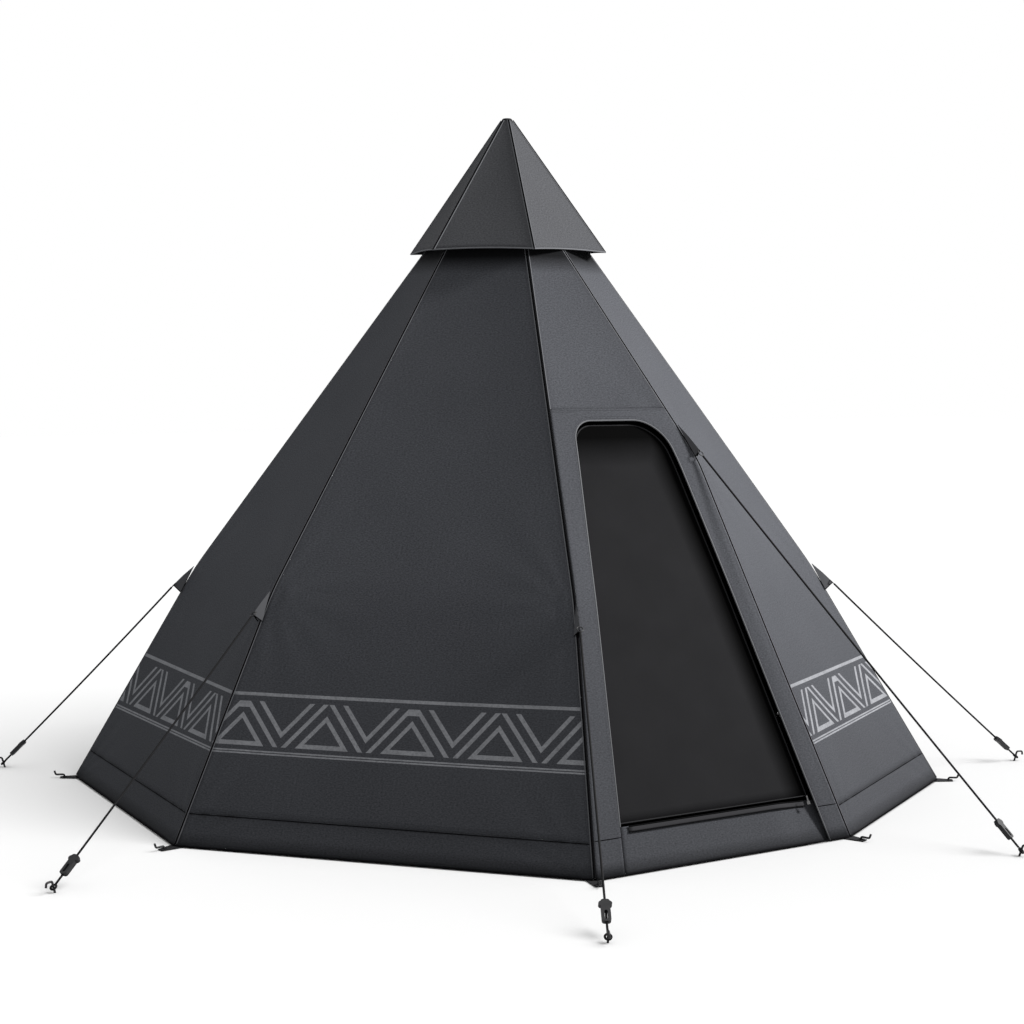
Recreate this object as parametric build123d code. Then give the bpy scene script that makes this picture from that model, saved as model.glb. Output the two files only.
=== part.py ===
# Eight-sided teepee tent: sewn fabric panels around one centre pole, a vented crown with a
# separate six-sided hood, an arched door, and eight guy ropes with sliding runners.
# Millimetres, +Z up. The origin is on the ground under the pole, and the door faces -Y.
from build123d import *
from collections import namedtuple
import math
import os

os.makedirs("parts", exist_ok=True)

# --- Driving dimensions -------------------------------------------------------------------
# Every ridge runs from the ground corner over its guy-out point to the top ring. Angles are
# measured around +Z from the door's direction, and are uneven because the corners are pegged
# out by hand and the ropes pull the ridges outward.
Ridge = namedtuple("Ridge", "base_angle base_radius guy_angle guy_radius guy_height"
                            " top_angle peg_angle peg_radius")
GUY_HEIGHT = 890
DOOR_GUY_HEIGHT = 1400
RIDGES = [
    Ridge(-113, 1845, -115, 1330, GUY_HEIGHT, -117, -119, 2190),
    Ridge(-72, 1785, -74, 1275, GUY_HEIGHT, -77, -68, 2415),
    Ridge(-19, 1770, -17.5, 1270, GUY_HEIGHT, -15, -21.5, 2420),
    Ridge(19, 1740, 18.5, 1015, DOOR_GUY_HEIGHT, 9, 24, 2335),
    Ridge(54, 1850, 55.5, 1300, 910, 57, 65, 2275),
    Ridge(102, 1810, 103, 1290, GUY_HEIGHT, 104, 102, 2330),
    Ridge(150, 1800, 150, 1290, GUY_HEIGHT, 150, 150, 2330),
    Ridge(198, 1810, 197.5, 1290, GUY_HEIGHT, 196.5, 198, 2330),
]
DOOR_SIDE = 2                    # the door is between this ridge and the next

FABRIC = 3                       # thickness of a sewn, lined wall panel
HEM_HEIGHT = 6                   # underside of the hem
SKIRT_HEIGHT = 122               # seam between skirt and wall
SILL_HEIGHT = 154                # top of the sill under the door
DOOR_SEAM_HEIGHT = 1588          # seam above the door
TOP_HEIGHT = 2330                # top edge of the fabric walls
TOP_RADIUS = 275
SEAM_GAP = 1                     # between panels that meet at a level seam
MESH_TOP_HEIGHT = 2650           # top of the mesh vent under the hood
MESH_TOP_RADIUS = 67
PIPING_RADIUS = 5
PIPING_FOOT = 12                 # where the piping starts above the ground
PANEL_INSET = 6.4                # panel edge to ridge line

HOOD_FIRST_RIDGE = -14           # angle of one hood ridge; the rest follow every 60 degrees
HOOD_RIM_RADIUS = 429
HOOD_RIM_HEIGHT = 2225
HOOD_TIP_RADIUS = 19
HOOD_TIP_HEIGHT = 2791
HOOD_TIP_DROP = 8                # wall of the hood, measured straight down
HOOD_PIPING_RADIUS = 3
HOOD_PIPING_GAP = 1.2            # between the hood's corners and its piping
BOOT_HEIGHT = 6                  # ring that holds the mesh's top edge
SLEEVE_HEIGHT = 50               # boot's sleeve up the pole
SLEEVE_WALL = 6
HOOD_STRAP_WIDTH = 18
HOOD_STRAP_THICKNESS = 1.5
HOOD_STRAP_OUTER = (18, 3)       # strap's outer end: inside the rim, above the rim
HOOD_STRAP_INNER = (52, 52)      # strap's inner end: outside the top ring, above the rim

POLE_RADIUS = 16
POLE_BORE = 14.5
SPIGOT_RADIUS = 14.2
SPIGOT_LENGTH = 60
POLE_SECTIONS = 4
POLE_BOTTOM = 15
POLE_TOP = 2747
POLE_FOOT_RADIUS = 32
FINIAL_RADIUS = 14
PLUG_LENGTH = 30                 # plugs of the foot and the finial inside the pole
GROUNDSHEET_THICKNESS = 3
GROUNDSHEET_INSET = 40

# Door opening, as a front elevation (x, z): slanted sides, level top, open at the hem.
# The left edge bends where the guy rope pulls its ridge out. Each pair is (left, right).
OPENING_FOOT = (-452, 468)
OPENING_MIDDLE = (-294, 322)
OPENING_HEAD = (-146, 214)
OPENING_TOP = 1544
OPENING_CORNER_RADII = (90, 130)
BINDING_WIDTH = 9
ZIP_WIDTH = 18
ZIP_TOP = SILL_HEIGHT - 2
ZIP_END_GAP = 34                 # edge of the opening to the end of the zip
ZIP_STAND_OFF = 4                # tape in front of the sill, measured along Y
SLIDER_STAND_OFF = 14
SLIDER_SIZE = (14, 12, 5)
SLIDER_PULL_SIZE = (6, 26, 1.6)
SLIDER_END_GAP = 30              # slider's stops, inside the ends of the zip
LEAF_SIDE_GAP = 12
LEAF_TOP_GAP = 20
LEAF_THICKNESS = 3
LEAF_FOOT_HEIGHT = 158
LEAF_SET_BACK = 24               # how far the leaf hangs behind the door side, along Y

ROPE_RADIUS = 4
ROPE_SAG = 10
RING_RADIUS = 12
RING_WIRE = 2
TAB_LENGTH = 118
TAB_STAND_OFF = 42
TAB_EYELET_SHARE = 0.82          # how far down the tab its eyelet is
TAB_EYELET_REACH = 0.8           # how far out, as a share of the stand-off
DOOR_TAB_LENGTH = 150
DOOR_TAB_EYELET_SHARE = 0.05
DOOR_TAB_EYELET_REACH = 0.45
TAB_THICKNESS = 3
EYELET_RADIUS = 5
EYELET_RIM = 5
PEG_WIRE = 4                     # radius of the pegs' wire
PEG_DEPTH = 170
PEG_POINT_HEIGHT = 20            # where a guy rope's loop sits on its peg
GUY_PEG_LEAN = 0.31              # shaft's outward lean, per unit of height
GUY_PEG_NECK = 22
GUY_PEG_HOOK = (26, 28, 16)      # bar, reach of its tail, drop of its tail
GUY_PEG_BENDS = [8, 7]
CORNER_PEG_LEAN = 60             # how far back the point is under the ground
CORNER_PEG_NECK = 14
CORNER_PEG_BAR = 34
CORNER_PEG_TAIL = (6, 16)        # tail's reach and rise
CORNER_PEG_BENDS = [8, 8]
LOOP_RADIUS = 10
RUNNER_LENGTH = 84
RUNNER_WIDTH = 30
RUNNER_THICKNESS = 16
RUNNER_CORNER = 9
RUNNER_BORE = 5.3                # radius
RUNNER_SLOT = (34, 11)           # length and width
RUNNER_SLOT_PLACE = 25           # runner's foot to the middle of the slot
RUNNER_LOBE_RADIUS = 9
RUNNER_LOBE_PLACE = (16, 13)     # lobes' centres: below the head, out from the middle
RUNNER_REST = 96                 # centre of a runner to the rope's ground end
STRAP_WIDTH = 60
STRAP_BOTTOM = 1
STRAP_THICKNESS = 2.5
STRAP_REACH = 45                 # fabric corner to the corner peg
STRAP_INSIDE = 22                # how far the strap goes under the fabric corner
STRAP_NOSE = 16                  # how far it goes past the peg
STRAP_NOSE_WIDTH = 28
STRAP_EYELET_RADIUS = 9
UP = Vector(0, 0, 1)


# --- Geometry helpers ---------------------------------------------------------------------
def radial(angle):
    return Vector(math.sin(math.radians(angle)), -math.cos(math.radians(angle)), 0)


def polar(radius, angle, height):
    return radial(angle) * radius + UP * height


def ridge_points(ridge):
    """The ridge line's three points: ground corner, guy-out, top ring."""
    return [polar(ridge.base_radius, ridge.base_angle, 0),
            polar(ridge.guy_radius, ridge.guy_angle, ridge.guy_height),
            polar(TOP_RADIUS, ridge.top_angle, TOP_HEIGHT)]


def on_ridge(ridge, height):
    corner, guy, top = ridge_points(ridge)
    low, high = (corner, guy) if height <= guy.Z else (guy, top)
    return low + (high - low) * ((height - low.Z) / (high.Z - low.Z))


def rows_between(left, right, bottom, top):
    """Level rows from bottom to top, one at every bend of either ridge."""
    bends = {left.guy_height, right.guy_height}
    heights = [bottom] + sorted(h for h in bends if bottom < h < top) + [top]
    return [(on_ridge(left, h), on_ridge(right, h)) for h in heights]


def inset(row, distance):
    left, right = row
    along = (right - left).normalized() * distance
    return left + along, right - along


def face_of(*points):
    return Face(Wire.make_polygon(list(points), close=True))


def plate(rows, thickness, edge_inset=PANEL_INSET):
    """A thin plate on a ladder of rows (left, right), its thickness on the inner side."""
    rows = [inset(row, edge_inset) for row in rows]
    triangles = []
    for (left, right), (upper_left, upper_right) in zip(rows, rows[1:]):
        triangles.append((left, right, upper_right))
        triangles.append((left, upper_right, upper_left))
    normals = [(b - a).cross(c - a) for a, b, c in triangles]
    inward = -sum(normals, Vector()).normalized() * thickness
    outline = [row[0] for row in reversed(rows)] + [row[1] for row in rows]
    faces = [face_of(a, b, c) for a, b, c in triangles]
    faces += [face_of(a + inward, c + inward, b + inward) for a, b, c in triangles]
    for start, end in zip(outline, outline[1:] + outline[:1]):
        faces.append(face_of(start, start + inward, end + inward, end))
    return Solid(Shell(faces))


def frustum(lower, upper):
    """A closed solid between two level polygons with the same number of corners."""
    faces = [face_of(*reversed(lower)), face_of(*upper)]
    for i in range(len(lower)):
        j = (i + 1) % len(lower)
        faces.append(face_of(lower[i], lower[j], upper[j], upper[i]))
    return Solid(Shell(faces))


def rod(start, end, radius):
    return Solid.make_cylinder(radius, (end - start).length, Plane(start, z_dir=end - start))


def tube(points, radius, radii=None):
    """A round bar along straight runs, with an arc at each corner."""
    path = FilletPolyline(*points, radius=radii) if radii else Polyline(*points)
    start = Plane(path @ 0, z_dir=path % 0)
    return sweep(start * Circle(radius), path=path, transition=Transition.ROUND)


def write(name, *solids):
    shape = solids[0] if len(solids) == 1 else Compound(children=list(solids))
    export_step(shape, f"parts/{name}.step")


# --- Fabric walls -------------------------------------------------------------------------
def sides():
    """(index, left ridge, right ridge) of the eight sides."""
    for index, ridge in enumerate(RIDGES):
        yield index, ridge, RIDGES[(index + 1) % len(RIDGES)]


def make_walls():
    number = 0
    for index, left, right in sides():
        if index == DOOR_SIDE:
            continue
        number += 1
        skirt_rows = rows_between(left, right, HEM_HEIGHT, SKIRT_HEIGHT)
        wall_rows = rows_between(left, right, SKIRT_HEIGHT + SEAM_GAP, TOP_HEIGHT)
        write(f"skirt_panel_{number}", plate(skirt_rows, FABRIC))
        write(f"wall_panel_{number}", plate(wall_rows, FABRIC))


def make_piping():
    """A round cord sewn into each ridge seam, from the hem to the top ring."""
    cords = []
    for ridge in RIDGES:
        _, guy, top = ridge_points(ridge)
        cords.append(tube([on_ridge(ridge, PIPING_FOOT), guy, top], PIPING_RADIUS, [120]))
    write("ridge_piping", *cords)


# --- Door side ----------------------------------------------------------------------------
def opening_x(height, side):
    """Where the opening's left (0) or right (1) edge is at a height."""
    if height < GUY_HEIGHT:
        share = height / GUY_HEIGHT
        return OPENING_FOOT[side] + (OPENING_MIDDLE[side] - OPENING_FOOT[side]) * share
    share = (height - GUY_HEIGHT) / (OPENING_TOP - GUY_HEIGHT)
    return OPENING_MIDDLE[side] + (OPENING_HEAD[side] - OPENING_MIDDLE[side]) * share


def arch_prism(side_gap, top_gap, foot):
    """A bar along Y with the opening's outline, made smaller by the gaps."""
    top = OPENING_TOP - top_gap
    left = [(opening_x(height, 0) + side_gap, height) for height in (foot, GUY_HEIGHT, top)]
    right = [(opening_x(height, 1) - side_gap, height) for height in (top, GUY_HEIGHT, foot)]
    section = make_face(Polyline(*left, *right, close=True))
    corners = section.vertices().sort_by(Axis.Y)[-2:].sort_by(Axis.X)
    for corner, radius in zip(corners, OPENING_CORNER_RADII):
        nearest = section.vertices().sort_by_distance(corner)[0]
        section = fillet(nearest, radius)
    section = Plane.XZ * section
    return extrude(section, amount=2000, dir=(0, -1, 0))


def below(height):
    return Pos(0, 0, height - 2500) * Box(6000, 6000, 5000)


def make_door_side():
    left, right = RIDGES[DOOR_SIDE], RIDGES[DOOR_SIDE + 1]
    lower = plate(rows_between(left, right, HEM_HEIGHT, DOOR_SEAM_HEIGHT), FABRIC)
    upper = plate(rows_between(left, right, DOOR_SEAM_HEIGHT + SEAM_GAP, TOP_HEIGHT), FABRIC)
    opening = arch_prism(0, 0, -100)
    bound_opening = arch_prism(-BINDING_WIDTH, -BINDING_WIDTH, -100)
    sill = (lower & opening) & below(SILL_HEIGHT)
    tape = (lower & arch_prism(ZIP_END_GAP, 0, -100)) & (below(ZIP_TOP) - below(ZIP_TOP - ZIP_WIDTH))
    outward = Vector(0, -ZIP_STAND_OFF, 0)
    binding = (lower & bound_opening) - opening
    write("door_top_panel", upper)
    write("door_surround", *(lower - bound_opening).solids())
    write("door_binding", *binding.solids())
    write("door_sill", *sill.solids())
    write("door_zip", *(Pos(*outward) * tape).solids())


def door_side_point(x, height, stand_off):
    """A point in front of the door side's surface."""
    left, right = on_ridge(RIDGES[DOOR_SIDE], height), on_ridge(RIDGES[DOOR_SIDE + 1], height)
    point = left + (right - left) * ((x - left.X) / (right.X - left.X))
    return point - Vector(0, stand_off, 0)


def make_door_leaf():
    """The mesh door: a sheet that follows the door side, hung behind the opening's left edge."""
    left, right = RIDGES[DOOR_SIDE], RIDGES[DOOR_SIDE + 1]
    sheet = plate(rows_between(left, right, HEM_HEIGHT, DOOR_SEAM_HEIGHT), LEAF_THICKNESS)
    outline = arch_prism(LEAF_SIDE_GAP, LEAF_TOP_GAP, LEAF_FOOT_HEIGHT)
    leaf = (Pos(0, LEAF_SET_BACK, 0) * sheet) & outline
    write("inner_door", *leaf.solids())
    heights = (LEAF_FOOT_HEIGHT, GUY_HEIGHT, OPENING_TOP)
    foot, knee, head = [door_side_point(opening_x(height, 0) + LEAF_SIDE_GAP, height, -LEAF_SET_BACK)
                        for height in heights]
    print("door hinge at", knee, "axis", (foot - head).normalized())


def make_zip_slider():
    """The slider and its pull, which run along the zip in front of the tape."""
    middle_height = ZIP_TOP - ZIP_WIDTH / 2
    inside = ZIP_END_GAP + SLIDER_END_GAP
    ends = (OPENING_FOOT[0] + inside, OPENING_FOOT[1] - inside)
    place = door_side_point(ends[1], middle_height, SLIDER_STAND_OFF)
    other_end = door_side_point(ends[0], middle_height, SLIDER_STAND_OFF)
    frame = Plane(place, x_dir=other_end - place, z_dir=(0, -1, 0.5))
    slider = frame * (Box(*SLIDER_SIZE) + Pos(0, -14, 2) * Box(*SLIDER_PULL_SIZE))
    write("zip_slider", slider.solid())
    travel = other_end - place
    print("zip slide axis", travel.normalized(), "travel", travel.length)


# --- Crown --------------------------------------------------------------------------------
def make_crown():
    mesh = []
    for _, left, right in sides():
        ends = ((TOP_RADIUS, TOP_HEIGHT + 0.5), (MESH_TOP_RADIUS, MESH_TOP_HEIGHT))
        rows = [(polar(radius, left.top_angle, height), polar(radius, right.top_angle, height))
                for radius, height in ends]
        mesh.append(plate(rows, 1.5, 2))
    write("vent_mesh", *mesh)
    disc_middle = MESH_TOP_HEIGHT + BOOT_HEIGHT / 2 + 0.2
    disc = Pos(0, 0, disc_middle) * Cylinder(MESH_TOP_RADIUS + 5, BOOT_HEIGHT)
    sleeve = Pos(0, 0, disc_middle + 22.8) * Cylinder(POLE_RADIUS + SLEEVE_WALL, SLEEVE_HEIGHT)
    bore = Pos(0, 0, MESH_TOP_HEIGHT) * Cylinder(POLE_RADIUS + 0.3, 200)
    write("crown_boot", (disc + sleeve - bore).solid())


def hood_ring(radius, height):
    return [polar(radius, HOOD_FIRST_RIDGE + 60 * i, height) for i in range(6)]


def make_hood():
    slope = (HOOD_TIP_HEIGHT - HOOD_RIM_HEIGHT) / (HOOD_RIM_RADIUS - HOOD_TIP_RADIUS)
    below_rim = 30
    inner_rim = HOOD_RIM_RADIUS + (below_rim - HOOD_TIP_DROP) / slope
    outer = frustum(hood_ring(HOOD_RIM_RADIUS, HOOD_RIM_HEIGHT),
                    hood_ring(HOOD_TIP_RADIUS, HOOD_TIP_HEIGHT))
    inner = frustum(hood_ring(inner_rim, HOOD_RIM_HEIGHT - below_rim),
                    hood_ring(HOOD_TIP_RADIUS, HOOD_TIP_HEIGHT - HOOD_TIP_DROP))
    write("vent_hood", (outer - inner).solid())
    cords = []
    for low, high in zip(hood_ring(HOOD_RIM_RADIUS, HOOD_RIM_HEIGHT),
                         hood_ring(HOOD_TIP_RADIUS, HOOD_TIP_HEIGHT)):
        outward = Vector(low.X, low.Y, 0).normalized() * (HOOD_PIPING_RADIUS + HOOD_PIPING_GAP)
        start, end = low + outward, high + outward + UP * 2
        cords.append(rod(start, end, HOOD_PIPING_RADIUS))
    write("hood_piping", *cords)


def make_hood_straps():
    """Short webbing straps that tie the hood's rim back towards the crown."""
    straps = []
    for i in range(6):
        angle = HOOD_FIRST_RIDGE + 60 * i
        outer = polar(HOOD_RIM_RADIUS - HOOD_STRAP_OUTER[0], angle, HOOD_RIM_HEIGHT + HOOD_STRAP_OUTER[1])
        inner = polar(TOP_RADIUS + HOOD_STRAP_INNER[0], angle, HOOD_RIM_HEIGHT + HOOD_STRAP_INNER[1])
        across = radial(angle + 90) * HOOD_STRAP_WIDTH / 2
        lift = UP * HOOD_STRAP_THICKNESS
        lower = [outer - across, outer + across, inner + across, inner - across]
        straps.append(frustum(lower, [p + lift for p in lower]))
    write("hood_straps", *straps)


# --- Pole and ground ----------------------------------------------------------------------
def make_pole():
    length = (POLE_TOP - POLE_BOTTOM) / POLE_SECTIONS
    for i in range(POLE_SECTIONS):
        bottom = POLE_BOTTOM + i * length
        body = Pos(0, 0, bottom + length / 2) * Cylinder(POLE_RADIUS, length)
        body -= Pos(0, 0, bottom + length / 2) * Cylinder(POLE_BORE, length + 2)
        if i < POLE_SECTIONS - 1:
            spigot_middle = bottom + length + SPIGOT_LENGTH / 2 - 10
            collar = Pos(0, 0, bottom + length - 5) * Cylinder(POLE_BORE + 0.5, 10)
            spigot = collar + Pos(0, 0, spigot_middle) * Cylinder(SPIGOT_RADIUS, SPIGOT_LENGTH)
            body += spigot - Pos(0, 0, spigot_middle) * Cylinder(SPIGOT_RADIUS - 1.5, SPIGOT_LENGTH + 2)
        write(f"pole_section_{i + 1}", body.solid())
    foot_height = POLE_BOTTOM - GROUNDSHEET_THICKNESS
    foot = Pos(0, 0, GROUNDSHEET_THICKNESS + foot_height / 2) * Cylinder(POLE_FOOT_RADIUS, foot_height)
    foot += Pos(0, 0, POLE_BOTTOM + PLUG_LENGTH / 2) * Cylinder(SPIGOT_RADIUS, PLUG_LENGTH)
    write("pole_foot", foot.solid())
    dome_middle = HOOD_TIP_HEIGHT - HOOD_TIP_DROP - FINIAL_RADIUS
    finial = Pos(0, 0, dome_middle) * Sphere(FINIAL_RADIUS)
    finial += Pos(0, 0, (POLE_TOP + dome_middle) / 2) * Cylinder(FINIAL_RADIUS, dome_middle - POLE_TOP)
    finial += Pos(0, 0, POLE_TOP - PLUG_LENGTH / 2) * Cylinder(SPIGOT_RADIUS, PLUG_LENGTH)
    write("pole_finial", finial.solid())


def make_groundsheet():
    ring = [polar(r.base_radius - GROUNDSHEET_INSET, r.base_angle, 0) for r in RIDGES]
    write("groundsheet", frustum(ring, [p + UP * GROUNDSHEET_THICKNESS for p in ring]))


def corner_peg(point, outward):
    """A driven steel wire peg: the shaft leans back, the bar runs outward, the tail turns up."""
    tip = point - outward * CORNER_PEG_LEAN - UP * (PEG_DEPTH + point.Z)
    elbow = point + UP * CORNER_PEG_NECK
    bar_end = elbow + outward * CORNER_PEG_BAR
    tail = bar_end + outward * CORNER_PEG_TAIL[0] + UP * CORNER_PEG_TAIL[1]
    return tube([tip, elbow, bar_end, tail], PEG_WIRE, CORNER_PEG_BENDS)


def guy_peg(point, outward):
    """A driven steel wire peg: the shaft leans away from the tent, the hook turns down."""
    shaft = (UP + outward * GUY_PEG_LEAN).normalized()
    bar, reach, drop = GUY_PEG_HOOK
    tip = point - shaft * ((PEG_DEPTH + point.Z) / shaft.Z)
    elbow = point + shaft * GUY_PEG_NECK
    return tube([tip, elbow, elbow + outward * bar, elbow + outward * reach - UP * drop],
                PEG_WIRE, GUY_PEG_BENDS)


def make_corner_pegs():
    pegs, straps = [], []
    for ridge in RIDGES:
        outward = radial(ridge.base_angle)
        across = radial(ridge.base_angle + 90)
        point = polar(ridge.base_radius + STRAP_REACH, ridge.base_angle, 0)
        pegs.append(corner_peg(point, outward))
        inner = polar(ridge.base_radius - STRAP_INSIDE, ridge.base_angle, STRAP_BOTTOM)
        outer = point + outward * STRAP_NOSE + UP * STRAP_BOTTOM
        lower = [inner - across * STRAP_WIDTH / 2, outer - across * STRAP_NOSE_WIDTH / 2,
                 outer + across * STRAP_NOSE_WIDTH / 2, inner + across * STRAP_WIDTH / 2]
        strap = frustum(lower, [p + UP * STRAP_THICKNESS for p in lower])
        eyelet = Pos(*(point - outward * 3)) * Cylinder(STRAP_EYELET_RADIUS, 30)
        straps.append((strap - eyelet).solid())
    write("corner_pegs", *pegs)
    write("corner_straps", *straps)


# --- Guy lines ----------------------------------------------------------------------------
def guy_tab(ridge):
    """A sewn triangular tab on the ridge. Returns its solid and its eyelet's centre."""
    corner, guy, top = ridge_points(ridge)
    outward = radial(ridge.guy_angle)
    door_post = ridge.guy_height == DOOR_GUY_HEIGHT
    along = (top - guy).normalized() if door_post else (corner - guy).normalized()
    away = (outward - along * outward.dot(along)).normalized()
    length = DOOR_TAB_LENGTH if door_post else TAB_LENGTH
    share = DOOR_TAB_EYELET_SHARE if door_post else TAB_EYELET_SHARE
    reach = DOOR_TAB_EYELET_REACH if door_post else TAB_EYELET_REACH
    start = guy + away * (PIPING_RADIUS + 0.8) + along * 4
    end = start + along * length
    eyelet = start + along * (length * share) + away * (TAB_STAND_OFF * reach)
    side = along.cross(away).normalized()
    middle = Plane(start, x_dir=along, z_dir=side)
    flat = [middle.to_local_coords(p) for p in (start, end, eyelet)]
    section = make_face(Polyline(*[(p.X, p.Y) for p in flat], close=True))
    hub_place = Pos(flat[2].X, flat[2].Y)
    clear_of_ridge = Pos(length / 2, 200) * Rectangle(600, 400)
    section = (section + hub_place * Circle(EYELET_RADIUS + EYELET_RIM)) & clear_of_ridge
    section -= hub_place * Circle(EYELET_RADIUS)
    solid = extrude(middle * section, amount=TAB_THICKNESS / 2, both=True)
    return solid.solid(), eyelet, side


def guy_line(ridge):
    """The route of one rope, with the ring and tab above it and the loop on its peg."""
    tab, eyelet, side = guy_tab(ridge)
    peg_point = polar(ridge.peg_radius, ridge.peg_angle, PEG_POINT_HEIGHT)
    way = (peg_point - eyelet).normalized()
    ring_centre = eyelet + way * (RING_RADIUS - 1)
    ring_axis = way.cross(side).normalized()
    ring = Plane(ring_centre, z_dir=ring_axis) * Torus(RING_RADIUS, RING_WIRE)
    start = ring_centre + way * (RING_RADIUS + RING_WIRE + 0.2)
    end = peg_point - way * (LOOP_RADIUS + ROPE_RADIUS + 0.2)
    middle = (start + end) / 2 - UP * ROPE_SAG
    return tab, ring, peg_point, way, [start, middle, end]


def rope_solid(route):
    first, second = route[1] - route[0], route[2] - route[1]
    half_turn = math.radians(first.get_angle(second)) / 2
    radius = 0.45 * min(first.length, second.length) / math.tan(half_turn)
    solid = tube(route, ROPE_RADIUS, [radius])
    ratio = solid.volume / (math.pi * ROPE_RADIUS ** 2 * (first + second).length)
    length = round(first.length + second.length, 1)
    print("rope", length, "mm, bend radius", round(radius), "volume ratio", round(ratio, 4))
    return solid


def runner(frame):
    """A flat plastic runner: a bore along the rope, a slot at its foot and two side lobes."""
    outline = RectangleRounded(RUNNER_LENGTH, RUNNER_WIDTH, RUNNER_CORNER)
    below_head, out = RUNNER_LOBE_PLACE
    for side in (-1, 1):
        outline += Pos(RUNNER_LENGTH / 2 - below_head, side * out) * Circle(RUNNER_LOBE_RADIUS)
    slot = Pos(-RUNNER_LENGTH / 2 + RUNNER_SLOT_PLACE, 0) * SlotOverall(*RUNNER_SLOT)
    block = extrude(outline - slot, amount=RUNNER_THICKNESS / 2, both=True)
    bore = Rot(0, 90, 0) * Cylinder(RUNNER_BORE, RUNNER_LENGTH + 20)
    return frame * (block - bore)


def make_guy_lines():
    tabs, rings, loops, pegs = [], [], [], []
    for number, ridge in enumerate(RIDGES, start=1):
        tab, ring, peg_point, way, route = guy_line(ridge)
        tabs.append(tab)
        rings.append(ring)
        write(f"guy_rope_{number}", rope_solid(route))
        print("  route", [tuple(round(c, 1) for c in p) for p in route])
        up_rope = (route[1] - route[2]).normalized()
        centre = route[2] + up_rope * (RUNNER_REST - LOOP_RADIUS - ROPE_RADIUS)
        level = up_rope.cross(UP).normalized()
        frame = Plane(centre, x_dir=up_rope, z_dir=level.cross(up_rope))
        write(f"guy_runner_{number}", runner(frame).solid())
        print("  runner axis", tuple(round(c, 4) for c in up_rope))
        outward = Vector(way.X, way.Y, 0).normalized()
        loop_axis = way.cross(way.cross(UP)).normalized()
        loops.append(Plane(peg_point, z_dir=loop_axis) * Torus(LOOP_RADIUS, ROPE_RADIUS))
        pegs.append(guy_peg(peg_point, outward))
    write("guy_tabs", *tabs)
    write("guy_rings", *rings)
    write("peg_loops", *loops)
    write("guy_pegs", *pegs)


make_walls()
make_piping()
make_door_side()
make_door_leaf()
make_zip_slider()
make_crown()
make_hood()
make_hood_straps()
make_pole()
make_groundsheet()
make_corner_pegs()
make_guy_lines()
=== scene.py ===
import math
from collections import namedtuple

import bpy
from mathutils import Matrix, Vector, noise


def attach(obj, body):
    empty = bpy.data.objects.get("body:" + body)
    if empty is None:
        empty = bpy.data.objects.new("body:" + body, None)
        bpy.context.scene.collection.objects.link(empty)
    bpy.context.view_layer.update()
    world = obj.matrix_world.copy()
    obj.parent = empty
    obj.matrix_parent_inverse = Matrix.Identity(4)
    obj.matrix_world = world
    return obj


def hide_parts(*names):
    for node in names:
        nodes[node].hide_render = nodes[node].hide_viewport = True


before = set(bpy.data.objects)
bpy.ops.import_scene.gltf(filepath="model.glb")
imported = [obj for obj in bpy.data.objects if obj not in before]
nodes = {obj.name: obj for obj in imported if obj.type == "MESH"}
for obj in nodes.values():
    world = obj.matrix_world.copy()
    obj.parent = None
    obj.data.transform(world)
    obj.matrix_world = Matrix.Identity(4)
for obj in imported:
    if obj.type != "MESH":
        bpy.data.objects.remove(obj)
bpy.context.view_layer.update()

# --- Driving values, in metres and degrees ---
# A ridge's corner on the ground, its guy-out point, its end at the vent, and the heights of the
# printed band beside it. Angles are in degrees round the pole, from the door towards +X.
Ridge = namedtuple("Ridge", "base_angle base_radius guy_angle guy_radius guy_height"
                            " top_angle band_low band_high")
GUY_HEIGHT = 0.89
DOOR_GUY_HEIGHT = 1.4
RIDGES = [
    Ridge(-113, 1.845, -115, 1.33, GUY_HEIGHT, -117, 0.304, 0.520),
    Ridge(-72, 1.785, -74, 1.275, GUY_HEIGHT, -77, 0.332, 0.530),
    Ridge(-19, 1.77, -17.5, 1.27, GUY_HEIGHT, -15, 0.338, 0.542),
    Ridge(19, 1.74, 18.5, 1.015, DOOR_GUY_HEIGHT, 9, 0.338, 0.540),
    Ridge(54, 1.85, 55.5, 1.3, 0.91, 57, 0.336, 0.526),
    Ridge(102, 1.81, 103, 1.29, GUY_HEIGHT, 104, 0.334, 0.530),
    Ridge(150, 1.8, 150, 1.29, GUY_HEIGHT, 150, 0.334, 0.530),
    Ridge(198, 1.81, 197.5, 1.29, GUY_HEIGHT, 196.5, 0.334, 0.530),
]
DOOR_SIDE = 2  # the door is between this ridge and the next
DOOR_RIDGES = RIDGES[DOOR_SIDE:DOOR_SIDE + 2]
SHELL = "shell"  # the body that everything but the door and the sliders rides on

HEM_HEIGHT = 0.006
SKIRT_HEIGHT = 0.122
SILL_HEIGHT = 0.154
DOOR_SEAM_HEIGHT = 1.588
TOP_HEIGHT = 2.33
TOP_RADIUS = 0.275
MESH_TOP_HEIGHT = 2.65
MESH_TOP_RADIUS = 0.067
CLOTH_THICKNESS = 0.0012
NETTING_THICKNESS = 0.0008
UV_SLOPE = 1.15  # cloth up a side for each metre of height, for weave and print
SEAM_OVERLAP = 0.008  # how far a wall reaches down behind the skirt's seam
SEAM_EDGE = 0.005  # edge of a panel to the ridge line
RIDGE_FOOT = 0.012  # height where a ridge's cord starts
BEND_REACH = 0.06  # how far the guy rope rounds a ridge, up and down
PANEL_SAG = 0.011  # hollow in the middle of a tensioned side
FOLD_HEIGHT = 0.0036  # small tension folds around a pulled point
GUY_FOLD_REACH = 0.20
FOOT_FOLD_REACH = 0.24
RIPPLE_HEIGHT = 0.0018
HEM_RADIUS = 0.0032

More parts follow.
